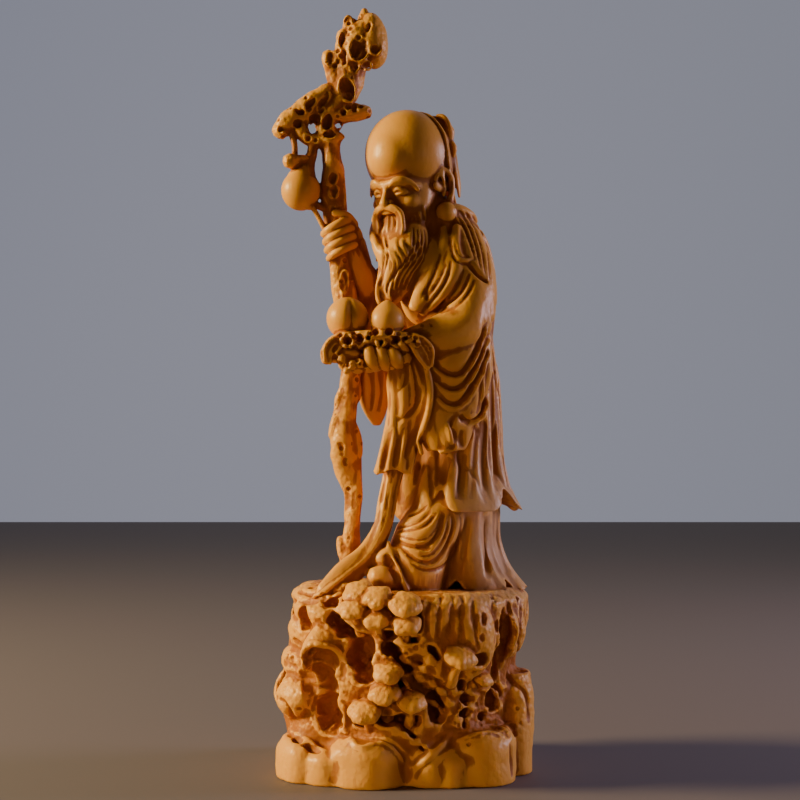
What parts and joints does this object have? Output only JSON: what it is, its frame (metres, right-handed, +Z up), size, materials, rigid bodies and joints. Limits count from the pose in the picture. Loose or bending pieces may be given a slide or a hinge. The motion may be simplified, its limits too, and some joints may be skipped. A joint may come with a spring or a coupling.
{
  "type": "shou lao figure",
  "caption": "Carved boxwood figure of the old man of long life in long robes, with a gnarled root staff and a tray of peaches, standing on a worn rock with mushrooms",
  "frame": {"origin": "the middle of the flat underside of the rock, which rests on the table or shelf", "axes": "+Z up, -Y towards the viewer of the front, +X to that viewer's right, which is the figure's left"},
  "size_m": [0.0824, 0.0759, 0.2393],
  "materials": {
    "boxwood": "honey-yellow boxwood, fine sanded and waxed to a satin sheen, darker orange in the hollows"
  },
  "bodies": {
    "root": {"shou_lao_carving": "boxwood"}
  },
  "joints": []
}
